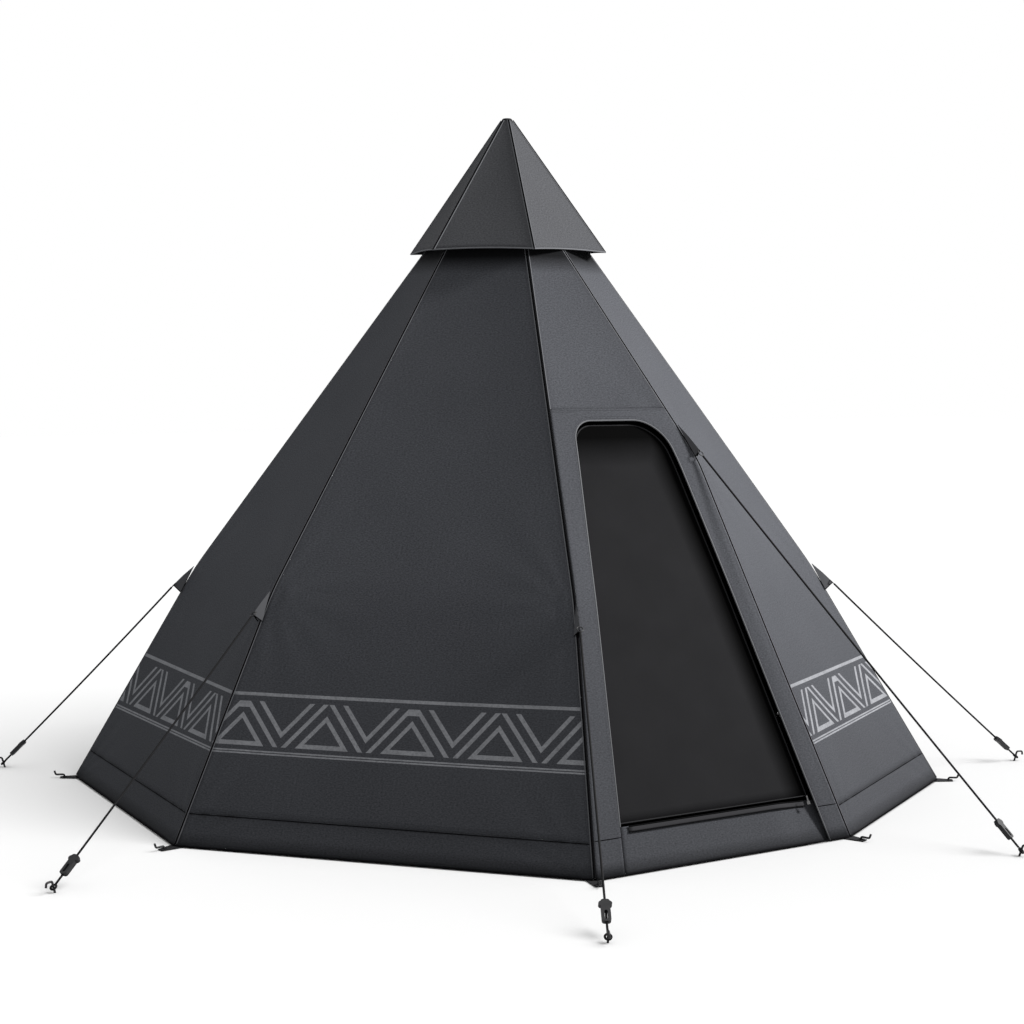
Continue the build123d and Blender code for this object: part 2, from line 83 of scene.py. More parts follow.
HOOD_FIRST_RIDGE = -14
HOOD_SIDES = 6
HOOD_RIM_RADIUS = 0.429
HOOD_RIM_HEIGHT = 2.225
HOOD_TIP_RADIUS = 0.019
HOOD_TIP_HEIGHT = 2.791
HOOD_TIP_SHARE = 0.985  # share of the way to the tip where the cap takes over
HOOD_FACE_OUT = (0.81, 0.586)  # outward and upward parts of a side's normal
HOOD_FACE_UP = (-0.59, 0.81)  # outward and upward parts of the way up a side
HOOD_RIM_ARCH = 0.009  # the rim bows up between two ridges
HOOD_SAG = 0.004

OPENING_FOOT = (-0.452, 0.468)
OPENING_MIDDLE = (-0.294, 0.322)
OPENING_HEAD = (-0.146, 0.214)
OPENING_TOP = 1.544
OPENING_CORNER_RADII = (0.09, 0.13)
EDGE_ROWS = 40  # points up each edge of the opening
ARC_ROWS = 12  # points round each of its corners
BINDING_RADIUS = 0.0032
ZIP_LOW = 0.134
ZIP_HIGH = 0.152
ZIP_END_GAP = 0.034
ZIP_COIL_RADIUS = 0.0022
SILL_TUCK = 0.034  # how far the sill's right end goes behind the door post
LEAF_SIDE_GAP = 0.012
LEAF_TOP_GAP = 0.020
LEAF_FOOT_HEIGHT = 0.158
LEAF_SET_BACK = 0.024  # how far the leaf hangs behind the door side, along Y

GROUNDSHEET_INSET = 0.04
GROUNDSHEET_HEIGHT = 0.003
ROPE_DIAMETER = 0.008
TAB_LENGTH = 0.118
TAB_HALF_WIDTH = 0.014
TAB_STAND_OFF = 0.042
DOOR_TAB_LENGTH = 0.15
DOOR_TAB_HALF_WIDTH = 0.005
PIPING_RADIUS = 0.005

WEAVE_PERIOD = 0.0016
NETTING_PERIOD = 0.002
CLOTH_COLOUR = (0.0335, 0.0350, 0.0395)
PRINT_COLOUR = (0.130, 0.133, 0.142, 1)
THREAD_COLOUR = (0.012, 0.012, 0.014, 1)
# Painted shade, as tones of cloth against its full tone, and where they fade to it.
# Painted shade on the door leaf along its free edge and head, where the opening shades it.
PAINTED_EDGE_SHADE = 0.06
PAINTED_EDGE_SHADE_FADE = (0.03, 0.10)
# Painted shade: the sides are painted darker towards the ground.
PAINTED_GROUND_SHADE = 0.70
PAINTED_GROUND_SHADE_HEIGHT = 1.1
# Painted contact shadow, darker still just over the hem.
PAINTED_HEM_SHADOW = 0.25
PAINTED_HEM_SHADOW_HEIGHT = 0.055
# Painted shade under the hood: near black between the start and end heights.
PAINTED_CROWN_SHADE = 0.12
PAINTED_CROWN_SHADE_START = 2.13
PAINTED_CROWN_SHADE_END = 2.20

# Routes of the eight guy ropes: the ring's end, the middle with its slight sag, the peg's loop.
ROPE_ROUTES = [
    [(-1.2981, 0.6038, 0.8045), (-1.6028, 0.8298, 0.4053), (-1.9074, 1.0558, 0.0301)],
    [(-1.3228, -0.3891, 0.8071), (-1.7760, -0.6441, 0.4078), (-2.2292, -0.8991, 0.0285)],
    [(-0.4194, -1.3080, 0.8064), (-0.6506, -1.7747, 0.4074), (-0.8819, -2.2414, 0.0285)],
    [(0.3330, -0.9896, 1.4060), (0.6390, -1.5571, 0.7082), (0.9451, -2.1246, 0.0304)],
    [(1.1587, -0.7913, 0.8275), (1.6050, -0.8754, 0.4184), (2.0514, -0.9595, 0.0294)],
    [(1.3591, 0.3105, 0.8067), (1.8137, 0.3965, 0.4079), (2.2684, 0.4824, 0.0291)],
    [(0.6968, 1.2069, 0.8060), (0.9282, 1.6076, 0.4075), (1.1596, 2.0084, 0.0291)],
    [(-0.4207, 1.3291, 0.8067), (-0.5686, 1.7674, 0.4079), (-0.7165, 2.2057, 0.0291)],
]
UP = Vector((0, 0, 1))

CAMERA_PLACE = (-3.892, -7.015, 1.838)
CAMERA_LENS = 65.68  # in millimetres, as the sensor is
CAMERA_SENSOR = 36
CAMERA_YAW = -29.198
CAMERA_DIP = 5.11  # degrees below the horizon
CAMERA_ROLL = 0.13
FLOOR_HALF_SIZE = 30
FLOOR_DEPTH = 0.001  # the floor is just under the hem, so the two don't meet


# --- Camera, lights and floor ---
def add_object(name, data):
    thing = bpy.data.objects.new(name, data)
    bpy.context.scene.collection.objects.link(thing)
    return thing


def make_camera():
    data = bpy.data.cameras.new("camera")
    data.lens = CAMERA_LENS
    data.sensor_width = CAMERA_SENSOR
    camera = add_object("camera", data)
    yaw = Matrix.Rotation(math.radians(CAMERA_YAW), 4, "Z")
    pitch = Matrix.Rotation(math.radians(90 - CAMERA_DIP), 4, "X")
    roll = Matrix.Rotation(math.radians(CAMERA_ROLL), 4, "Z")
    camera.matrix_world = Matrix.Translation(CAMERA_PLACE) @ yaw @ pitch @ roll
    bpy.context.scene.camera = camera


def make_area_light(name, angle, reach, height, aim_height, size, power, colour):
    """A square soft box, placed by its angle round the tent from the door."""
    data = bpy.data.lights.new(name, "AREA")
    data.shape = "SQUARE"
    data.size = size
    data.energy = power
    data.color = colour
    light = add_object(name, data)
    place = polar(reach, angle, height)
    light.location = place
    light.rotation_euler = (Vector((0, 0, aim_height)) - place).to_track_quat("-Z", "Y").to_euler()
    return light


def make_world():
    """An even white sky, which lights the tent and the floor from all round."""
    world = bpy.data.worlds.new("studio_white")
    world.use_nodes = True
    background = world.node_tree.nodes["Background"]
    background.inputs["Color"].default_value = (1, 1, 1, 1)
    background.inputs["Strength"].default_value = 1.0
    bpy.context.scene.world = world
    bpy.context.scene.view_settings.view_transform = "Standard"


def make_floor():
    corners = [(x * FLOOR_HALF_SIZE, y * FLOOR_HALF_SIZE, -FLOOR_DEPTH)
               for x, y in ((-1, -1), (1, -1), (1, 1), (-1, 1))]
    mesh = bpy.data.meshes.new("floor")
    mesh.from_pydata(corners, [], [(0, 1, 2, 3)])
    floor = add_object("floor", mesh)
    graph = Graph("floor_white", (0.5, 0.5, 0.5), roughness=0.9, specular=0.0)
    mesh.materials.append(graph.material)
    return floor


def make_lights(floor):
    """The key and the fill don't light the floor, so the tent has only a soft shadow at its foot.
    The sun lights nothing else."""
    key = make_area_light("key", angle=52, reach=7.0, height=5.3, aim_height=1.2,
                          size=1.3, power=2050, colour=(1.0, 0.99, 0.98))
    spared = bpy.data.collections.new("spared_by_key")
    spared.objects.link(floor)
    key.light_linking.receiver_collection = spared
    spared.collection_objects[0].light_linking.link_state = "EXCLUDE"
    fill = make_area_light("fill", angle=-120, reach=6.0, height=2.5, aim_height=1.0,
                           size=3.0, power=6, colour=(0.45, 0.72, 1.0))
    fill.light_linking.receiver_collection = spared
    floor_only = bpy.data.collections.new("floor_only")
    floor_only.objects.link(floor)
    sun_data = bpy.data.lights.new("floor_sun", "SUN")
    sun_data.energy = 4.6
    sun_data.angle = math.radians(45)
    sun = add_object("floor_sun", sun_data)
    sun.rotation_euler = polar(0.9, 50, 1.0).to_track_quat("Z", "Y").to_euler()
    sun.light_linking.receiver_collection = floor_only


# --- Materials ---
class Graph:
    """A material and short ways to add nodes to it. Values are numbers or other nodes' outputs."""

    def __init__(self, name, colour, roughness, specular):
        self.material = bpy.data.materials.new(name)
        self.material.use_nodes = True
        self.tree = self.material.node_tree
        self.shader = self.tree.nodes["Principled BSDF"]
        self.colour = colour
        self.set(self.shader, "Base Color", (*colour, 1))
        self.set(self.shader, "Roughness", roughness)
        self.set(self.shader, "Specular IOR Level", specular)

    def set(self, node, socket, value):
        target = node.inputs[socket]
        if isinstance(value, bpy.types.NodeSocket):
            self.tree.links.new(value, target)
        else:
            target.default_value = value

    def add(self, kind, **values):
        node = self.tree.nodes.new(kind)
        for key, value in values.items():
            setattr(node, key, value)
        return node

    def math(self, operation, *values):
        node = self.add("ShaderNodeMath", operation=operation)
        for i, value in enumerate(values):
            self.set(node, i, value)
        return node.outputs[0]

    def times(self, first, *others):
        """The product of all the values."""
        for other in others:
            first = self.math("MULTIPLY", first, other)
        return first

    def either(self, first, *others):
        """The largest of all the values."""
        for other in others:
            first = self.math("MAXIMUM", first, other)
        return first

    def near(self, value, centre, reach):
        """1 where a value is within reach of the centre, and 0 elsewhere."""
        return self.math("COMPARE", value, centre, reach)

    def repeat(self, value, period, start=0.0):
        """A share from 0 to 1 that starts again with each period."""
        turns = self.math("ADD", self.math("DIVIDE", value, period), start)
        return self.math("FRACT", turns)

    def uv(self):
        """Cloth coordinates in metres: both together, across, and up."""
        split = self.add("ShaderNodeSeparateXYZ")
        source = self.add("ShaderNodeUVMap", uv_map="cloth").outputs[0]
        self.set(split, 0, source)
        return source, split.outputs[0], split.outputs[1]

    def field(self, name):
        return self.add("ShaderNodeAttribute", attribute_name=name).outputs["Fac"]

    def object_place(self):
        return self.add("ShaderNodeTexCoord").outputs["Object"]

    def noise(self, vector, scale=1.0, detail=2.0, roughness=0.5):
        node = self.add("ShaderNodeTexNoise")
        self.set(node, "Vector", vector)
        self.set(node, "Scale", scale)
        self.set(node, "Detail", detail)
        self.set(node, "Roughness", roughness)
        return node.outputs["Fac"]

    def stretch(self, vector, scale):
        node = self.add("ShaderNodeMapping")
        self.set(node, "Vector", vector)
        node.inputs["Scale"].default_value = scale
        return node.outputs[0]

    def span(self, value, low, high, start=0.0, end=1.0):
        """The value's way from start to end, as the way from low to high, held at both ends."""
        node = self.add("ShaderNodeMapRange")
        for socket, number in zip(range(5), (value, start, end, low, high)):
            self.set(node, socket, number)
        return node.outputs[0]

    def wave(self, vector, direction, period):
        """Threads or ribs across one direction, one each period."""
        node = self.add("ShaderNodeTexWave", wave_type="BANDS", bands_direction=direction)
        self.set(node, "Vector", vector)
        self.set(node, "Scale", 2 * math.pi / (20 * period))
        return node.outputs["Fac"]

    def shade(self, factor):
        """The base colour, made lighter or darker by a factor."""
        node = self.add("ShaderNodeHueSaturation")
        node.inputs["Color"].default_value = (*self.colour, 1)
        self.set(node, "Value", factor)
        return node.outputs[0]

    def painted_height_shade(self, crown):
        """Painted shade: cloth is painted darker towards the ground, darker still just over the hem as a
        painted contact shadow, and, with crown, near black under the hood.
        """
        split = self.add("ShaderNodeSeparateXYZ")
        self.set(split, 0, self.object_place())
        height = split.outputs[2]
        tone = self.times(self.span(height, PAINTED_GROUND_SHADE, 1.0, 0.0, PAINTED_GROUND_SHADE_HEIGHT),
                          self.span(height, PAINTED_HEM_SHADOW, 1.0, 0.0, PAINTED_HEM_SHADOW_HEIGHT))
        # Painted shade under the hood.
        if crown:
            tone = self.times(tone, self.span(height, 1.0, PAINTED_CROWN_SHADE, PAINTED_CROWN_SHADE_START, PAINTED_CROWN_SHADE_END))
        return tone

    def mix(self, factor, first, second):
        node = self.add("ShaderNodeMix", data_type="RGBA")
        for socket, value in zip((0, 6, 7), (factor, first, second)):
            self.set(node, socket, value)
        return node.outputs[2]

    def bump(self, height, distance, strength=0.5):
        node = self.add("ShaderNodeBump")
        self.set(node, "Height", height)
        self.set(node, "Distance", distance)
        self.set(node, "Strength", strength)
        self.set(self.shader, "Normal", node.outputs[0])

    def paint(self, colour):
        self.set(self.shader, "Base Color", colour)


def zigzag_print(graph, x):
    """A generic printed border: a zigzag with an outlined triangle under each peak and a
    chevron over each valley, between a single line above and a double line below. Every other
    peak is flat. Levels are shares of the band's height, from its lower line to its upper one."""
    period = 0.335
    start = 0.37
    valley_level, flat_level, peak_level = 0.02, 0.82, 0.94
    triangle_drop, chevron_rise = -0.31, 0.30
    foot_level, foot_half_width, foot_drop = 0.145, 0.04, -0.27
    motif_centre, motif_reach = 0.495, 0.385
    stroke, top_stroke, double_stroke, double_gap = 0.054, 0.028, 0.034, 0.008

    level = graph.field("band")
    share = graph.repeat(x, period, start)
    from_peak = graph.math("ABSOLUTE", graph.math("SUBTRACT", graph.math("MULTIPLY", share, 2.0), 1.0))
    line = graph.span(graph.math("SUBTRACT", 1.0, from_peak), valley_level, peak_level)
    pointed = graph.math("GREATER_THAN", graph.repeat(x, 2 * period, start / 2), 0.5)
    cut_line = graph.math("MINIMUM", line, graph.span(pointed, flat_level, peak_level))
    above = graph.math("SUBTRACT", level, line)
    zigzag = graph.near(level, cut_line, stroke)
    triangle_side = graph.near(above, triangle_drop, stroke)
    triangle_foot = graph.times(graph.near(level, foot_level, foot_half_width),
                                graph.math("LESS_THAN", above, foot_drop))
    chevron = graph.near(above, chevron_rise, stroke)
    motif = graph.times(graph.either(zigzag, triangle_side, chevron, triangle_foot),
                        graph.near(level, motif_centre, motif_reach))
    top_line = graph.near(level, 1.0, top_stroke)
    double_line = graph.math("SUBTRACT", graph.near(level, 0.0, double_stroke),
                             graph.near(level, 0.0, double_gap))
    return graph.either(motif, top_line, double_line)


def stitch_rows(graph, x, y):
    """Two rows of dashed thread beside the ridge seams and one beside each level seam."""
    pitch, stitch_share, half_width = 0.006, 0.62, 0.0006
    inner_row, outer_row, level_row = 0.007, 0.013, 0.006
    dashes_up = graph.math("LESS_THAN", graph.repeat(y, pitch), stitch_share)
    dashes_across = graph.math("LESS_THAN", graph.repeat(x, pitch), stitch_share)
    ridge_gap, seam_gap = graph.field("ridge_gap"), graph.field("seam_gap")
    ridge_rows = graph.either(graph.near(ridge_gap, inner_row, half_width),
                              graph.near(ridge_gap, outer_row, half_width))
    return graph.either(graph.times(ridge_rows, dashes_up),
                        graph.times(graph.near(seam_gap, level_row, half_width), dashes_across))


def woven_fabric(name, colour, printed=False, stitched=False, heather=0.42, shaded_crown=False):
    """Heathered plain-weave polyester, with its print and its stitching."""
    graph = Graph(name, colour, roughness=0.85, specular=0.05)
    cloth, x, y = graph.uv()
    threads = graph.either(graph.wave(cloth, "X", WEAVE_PERIOD), graph.wave(cloth, "Y", WEAVE_PERIOD))
    fleck = graph.noise(graph.stretch(cloth, (120, 210, 1)), detail=3.0, roughness=0.75)
    slub = graph.noise(graph.stretch(cloth, (35, 520, 1)))
    cloud = graph.noise(cloth, 2.3, detail=3.0)
    tone = graph.times(graph.span(fleck, 1 - heather, 1 + heather, 0.3, 0.7),
                       graph.span(slub, 0.95, 1.05, 0.3, 0.7),
                       graph.span(cloud, 0.95, 1.05, 0.3, 0.7),
                       graph.span(threads, 0.9, 1.04),
                       graph.painted_height_shade(shaded_crown))
    cloth_colour = graph.shade(tone)
    if printed:
        wear = graph.times(graph.span(graph.noise(cloth, 95, 3.0, 0.7), 0.62, 1.0, 0.32, 0.56),
                           graph.span(graph.noise(cloth, 14), 0.8, 1.0, 0.3, 0.6))
        cloth_colour = graph.mix(graph.times(zigzag_print(graph, x), wear), cloth_colour, PRINT_COLOUR)
    height = threads
    if stitched:
        thread = stitch_rows(graph, x, y)
        cloth_colour = graph.mix(graph.times(thread, 0.7), cloth_colour, THREAD_COLOUR)
        height = graph.math("ADD", threads, graph.times(thread, 1.5))
    graph.paint(cloth_colour)
    graph.bump(height, 0.00025)
    return graph.material


def netting(name, colour, painted_edge_shade=False):
    """Fine mesh: dark round holes between paler threads. It can be painted darker near a sheet's edges, as
    painted shade.
    """
    graph = Graph(name, colour, roughness=0.9, specular=0.02)
    cloth = graph.uv()[0]
    threads = graph.either(graph.wave(cloth, "X", NETTING_PERIOD), graph.wave(cloth, "Y", NETTING_PERIOD))
    cloud = graph.noise(cloth, 5)
    tone = graph.times(graph.span(threads, 0.72, 1.1), graph.span(cloud, 0.93, 1.07, 0.3, 0.7))
    if painted_edge_shade:
        # Painted shade: darker towards the leaf's shaded edges.
        tone = graph.times(tone, graph.span(graph.field("painted_edge_shade"), PAINTED_EDGE_SHADE, 1.0, *PAINTED_EDGE_SHADE_FADE))
    graph.paint(graph.shade(tone))
    graph.bump(threads, 0.0003)
    return graph.material


def braided(name, colour, period, specular=0.1):
    """Cord or webbing: slanted ribs worked out in object space."""
    graph = Graph(name, colour, roughness=0.8, specular=specular)
    place = graph.object_place()
    ribs = graph.wave(place, "DIAGONAL", period)
    fleck = graph.noise(place, 420)
    graph.paint(graph.shade(graph.times(graph.span(ribs, 0.75, 1.15),
                                        graph.span(fleck, 0.85, 1.15, 0.3, 0.7))))
    graph.bump(ribs, 0.0006, 0.6)
    return graph.material


def moulded(name, colour, roughness, specular):
    """Plastic, rubber or coated steel: fine grain, faint scuffs and a worn tone."""
    graph = Graph(name, colour, roughness, specular)
    place = graph.object_place()
    grain = graph.noise(place, 900)
    scuff = graph.noise(graph.stretch(place, (30, 30, 90)), detail=4.0, roughness=0.65)
    graph.paint(graph.shade(graph.span(scuff, 0.85, 1.25, 0.35, 0.75)))
    graph.set(graph.shader, "Roughness", graph.span(scuff, roughness - 0.06, roughness + 0.12, 0.35, 0.7))
    graph.bump(grain, 0.00012)
    return graph.material


# --- Geometry helpers ---
def radial(angle):
    """A level direction, by its angle round the pole from the door."""
    return Vector((math.sin(math.radians(angle)), -math.cos(math.radians(angle)), 0))


def polar(radius, angle, height):
    return radial(angle) * radius + UP * height


def eased(height, bend, straight):
    """A line that turns at one height, with the turn rounded over BEND_REACH up and down."""
    share = (height - bend + BEND_REACH) / (2 * BEND_REACH)
    if not 0 < share < 1:
        return straight(height)
    low, high = straight(bend - BEND_REACH), straight(bend + BEND_REACH)
    return low * (1 - share) ** 2 + straight(bend) * (2 * share * (1 - share)) + high * share ** 2


def ridge_points(ridge):
    """A ridge's corner on the ground, its guy-out point and its end at the vent."""
    return (polar(ridge.base_radius, ridge.base_angle, 0),
            polar(ridge.guy_radius, ridge.guy_angle, ridge.guy_height),
            polar(TOP_RADIUS, ridge.top_angle, TOP_HEIGHT))


def ridge_at(ridge, height):
    """A point on a ridge, which turns at its guy-out point."""
    corner, guy, top = ridge_points(ridge)

    def straight(z):
        low, high = (corner, guy) if z <= guy.z else (guy, top)
        return low.lerp(high, (z - low.z) / (high.z - low.z))
    return eased(height, ridge.guy_height, straight)


def side_normal(left, right, height):
    """Outward normal of the side between two ridges, at the middle of a level row."""
    step = 0.02
    across = ridge_at(right, height) - ridge_at(left, height)
    lower = ridge_at(left, height - step) + ridge_at(right, height - step)
    upper = ridge_at(left, height + step) + ridge_at(right, height + step)
    return across.cross(upper - lower).normalized()


def between(start, end, share):
    return start + (end - start) * share


def smooth(value):
    """0 below 0, 1 above 1, and an eased rise between."""
    value = max(0.0, min(1.0, value))
    return value * value * (3 - 2 * value)


def ripple(x, y, seed, height=RIPPLE_HEIGHT):
    """Low uneven waves in a sheet, different for each seed."""
    return noise.noise(Vector((x, y, seed))) * height


def spread(count, crowd=0.6):
    """Shares from 0 to 1, closer together near both ends."""
    even = [i / count for i in range(count + 1)]
    return [(1 - crowd) * s + crowd * (0.5 - 0.5 * math.cos(math.pi * s)) for s in even]


def link(mesh_or_curve, name, material):
    mesh_or_curve.materials.append(material)
    return add_object(name, mesh_or_curve)


def lattice(name, us, vs, point, cloth, material, fields=None, closed=False):
    """A smooth quad mesh over shares us across and vs up. point and cloth give each node's
    place and its place on the flat cloth, and fields name more numbers kept at each node."""
    columns = len(us)
    verts = [point(u, v) for v in vs for u in us]
    flat = [cloth(u, v) for v in vs for u in us]
    faces = []
    for row in range(len(vs) - 1):
        for column in range(columns if closed else columns - 1):
            ahead = (column + 1) % columns
            faces.append((row * columns + column, row * columns + ahead,
                          (row + 1) * columns + ahead, (row + 1) * columns + column))
    mesh = bpy.data.meshes.new(name)
    mesh.from_pydata(verts, [], faces)
    mesh.update()
    layer = mesh.uv_layers.new(name="cloth")
    for loop in mesh.loops:
        layer.data[loop.index].uv = flat[loop.vertex_index]
    for field, function in (fields or {}).items():
        values = mesh.attributes.new(field, "FLOAT", "POINT").data
        for i, value in enumerate(function(u, v) for v in vs for u in us):
            values[i].value = value
    for polygon in mesh.polygons:
        polygon.use_smooth = True
    return link(mesh, name, material)


def thicken(piece, thickness=CLOTH_THICKNESS):
    modifier = piece.modifiers.new("cloth_thickness", "SOLIDIFY")
    modifier.thickness = thickness
    modifier.offset = -1
    return piece


def round_curve(name, radius, sides):
    """An empty curve that makes a round cord of each of its splines."""
    curve = bpy.data.curves.new(name, "CURVE")
    curve.dimensions = "3D"
    curve.bevel_depth = radius
    curve.bevel_resolution = sides
    curve.use_fill_caps = True
    return curve


def add_spline(curve, kind, places):
    spline = curve.splines.new(kind)
    spline.points.add(len(places) - 1)
    for target, place in zip(spline.points, places):
        target.co = (*place, 1)
    return spline


def strands(name, lines, radius, material, sides=3):
    """Thin round cords along lists of points, all in one piece."""
    curve = round_curve(name, radius, sides)
    for line in lines:
        add_spline(curve, "POLY", line).use_smooth = True
    return link(curve, name, material)


def sides():
    """Each side's index, and the ridges at its left and right seen from outside."""
    for index, ridge in enumerate(RIDGES):
        yield index, ridge, RIDGES[(index + 1) % len(RIDGES)]


def steps(start, end, count):
    return [start + (end - start) * i / count for i in range(count + 1)]


def turns_round(count, shares):
    """Places round a ring of sides: the side's number and the share of the way along it."""
    return [side + share for side in range(count) for share in shares[:-1]]


def ring_side(turn):
    """The ridges at both ends of a side of the tent, and the share of the way between them."""
    side = math.floor(turn)
    return RIDGES[side % len(RIDGES)], RIDGES[(side + 1) % len(RIDGES)], turn - side


# --- Fabric sides ---
def sag_share(u, height):
    """How much of the full hollow a side has: none on the ridges and at the hem, all of it
    above the knee, and less towards the crown, where the side is narrow."""
    knee, narrowing, crown_reach, crown_loss = 0.5, 1.5, 0.8, 0.6
    up = smooth(height / knee) * (1 - crown_loss * smooth((height - narrowing) / crown_reach))
    return 4 * u * (1 - u) * up


def fold_offset(place, pulled):
    """Radial tension folds: each pulled point has its own number of folds and its own phase."""
    calm_radius = 0.07
    total = 0.0
    for centre, folds, reach, phase in pulled:
        offset = place - centre
        distance = offset.length
        turn = math.atan2(offset.y, offset.x)
        fade = math.exp(-distance / reach) * smooth(distance / calm_radius)
        total += FOLD_HEIGHT * fade * math.cos(folds * turn + phase)
    return total


def make_side(name, number, left, right, low, high, rows, stand_off, material):
    """One sewn side panel between two ridges, from one level seam to another."""
    def width(z):
        return (ridge_at(right, z) - ridge_at(left, z)).length

    def cloth(u, z):
        return Vector(((u - 0.5) * width(z), z * UV_SLOPE))

    pulled = []
    for ridge, u, phase in ((left, 0.0, 1.3), (right, 1.0, 4.1)):
        pulled.append((cloth(u, ridge.guy_height), 14, GUY_FOLD_REACH, phase + number))
        pulled.append((cloth(u, 0.0), 18, FOOT_FOLD_REACH, phase * 2 + number))

    def point(u, z):
        start, end = ridge_at(left, z), ridge_at(right, z)
        inset = SEAM_EDGE / (end - start).length
        place = start.lerp(end, inset + u * (1 - 2 * inset))
        flat = cloth(u, z)
        inside = u * (1 - u)
        waves = ripple(flat.x * 2.4, flat.y * 1.7, number * 3.7) * smooth(inside * 14)
        lift = stand_off - PANEL_SAG * sag_share(u, z) + fold_offset(flat, pulled) * smooth(inside * 30)
        return place + side_normal(left, right, z) * (lift + waves)

    def band(u, z):
        low_line = between(left.band_low, right.band_low, u)
        return (z - low_line) / (between(left.band_high, right.band_high, u) - low_line)

    def ridge_gap(u, z):
        return min(u, 1 - u) * width(z)

    def seam_gap(u, z):
        return min(z - low, high - z)

    piece = lattice(name, spread(44), steps(low, high, rows), point, cloth, material,
                    {"band": band, "ridge_gap": ridge_gap, "seam_gap": seam_gap})
    thicken(piece)
    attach(piece, SHELL)
    broad, narrow = max(width(low), width(high)), min(width(low), width(high))
    return piece


def make_sides(fabric):
    number = 0
    for index, left, right in sides():
        if index == DOOR_SIDE:
            continue
        number += 1
        skirt = make_side(f"skirt_cloth_{number}", number, left, right, HEM_HEIGHT, SKIRT_HEIGHT,
                          rows=8, stand_off=0.0, material=fabric)
        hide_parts(f"skirt_panel_{number}")
        wall = make_side(f"wall_cloth_{number}", number, left, right, SKIRT_HEIGHT - SEAM_OVERLAP,
                         TOP_HEIGHT, rows=90, stand_off=0.0015, material=fabric)
        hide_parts(f"wall_panel_{number}")


def ridge_line(ridge, toward=None, shift=0.0):
    """Points up a ridge, moved sideways towards another ridge."""
    points = []
    for z in steps(RIDGE_FOOT, TOP_HEIGHT, 90):
        place = ridge_at(ridge, z)
        if toward is not None:
            place = place + (ridge_at(toward, z) - place).normalized() * shift
        points.append(place)
    return points


def make_ridge_seams(highlit_lip_fabric, groove):
    """Each ridge is two folded panel edges with a dark cord sunk between them. The ridge at the
    door's left has a thicker cord, with its folds further apart."""
    cord_radius, door_cord_radius, fold_radius = 0.0030, 0.0042, 0.0024
    fold_shift, door_fold_shift = 0.0056, 0.0072
    door_ridge = RIDGES[DOOR_SIDE]
    thin = [ridge_line(ridge) for ridge in RIDGES if ridge is not door_ridge]
    cord = strands("ridge_cord", thin, cord_radius, groove)
    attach(cord, SHELL)
    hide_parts("ridge_piping")
    door_cord = strands("door_ridge_cord", [ridge_line(door_ridge)], door_cord_radius, groove)
    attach(door_cord, SHELL)
    lips = []
    for index, ridge in enumerate(RIDGES):
        shift = door_fold_shift if ridge is door_ridge else fold_shift
        for toward in (RIDGES[index - 1], RIDGES[(index + 1) % len(RIDGES)]):
            lips.append(ridge_line(ridge, toward, shift))
    # The folds are in lighter cloth, partly a painted highlight.
    folded = strands("ridge_folds", lips, fold_radius, highlit_lip_fabric)
    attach(folded, SHELL)


# --- Door side ---
def opening_x(height, side):
    """Where the left (0) or right (1) edge of the opening is at a height."""
    foot, middle, head = OPENING_FOOT[side], OPENING_MIDDLE[side], OPENING_HEAD[side]

    def straight(z):
        if z < GUY_HEIGHT:
            return between(foot, middle, z / GUY_HEIGHT)
        return between(middle, head, (z - GUY_HEIGHT) / (OPENING_TOP - GUY_HEIGHT))
    return eased(height, GUY_HEIGHT, straight)


def opening_edge(side, side_gap, top_gap, foot):
    """One slanted edge of the door opening and its rounded corner, as (x, z) pairs."""
    inward = 1 if side == 0 else -1
    top = OPENING_TOP - top_gap
    below_top = top - 0.3
    radius = OPENING_CORNER_RADII[side]
    corner = Vector((opening_x(top, side) + inward * side_gap, top))
    below = Vector((opening_x(below_top, side) + inward * side_gap, below_top))
    down, along = (below - corner).normalized(), Vector((inward, 0))
    half = down.angle(along) / 2
    reach = radius / math.tan(half)
    centre = corner + (down + along).normalized() * (radius / math.sin(half))
    start, end = corner + down * reach - centre, corner + along * reach - centre
    turn = start.angle_signed(end)
    points = []
    for z in steps(foot, (start + centre).y, EDGE_ROWS):
        points.append(Vector((opening_x(z, side) + inward * side_gap, z)))
    for share in steps(0, 1, ARC_ROWS)[1:]:
        points.append(centre + Matrix.Rotation(-turn * share, 2) @ start)
    return points


def door_point(x, z, stand_off=0.0):
    """A point on the door side, at a front-elevation place."""
    left, right = DOOR_RIDGES
    start, end = ridge_at(left, z), ridge_at(right, z)
    place = start.lerp(end, (x - start.x) / (end.x - start.x))
    return place + side_normal(left, right, z) * stand_off


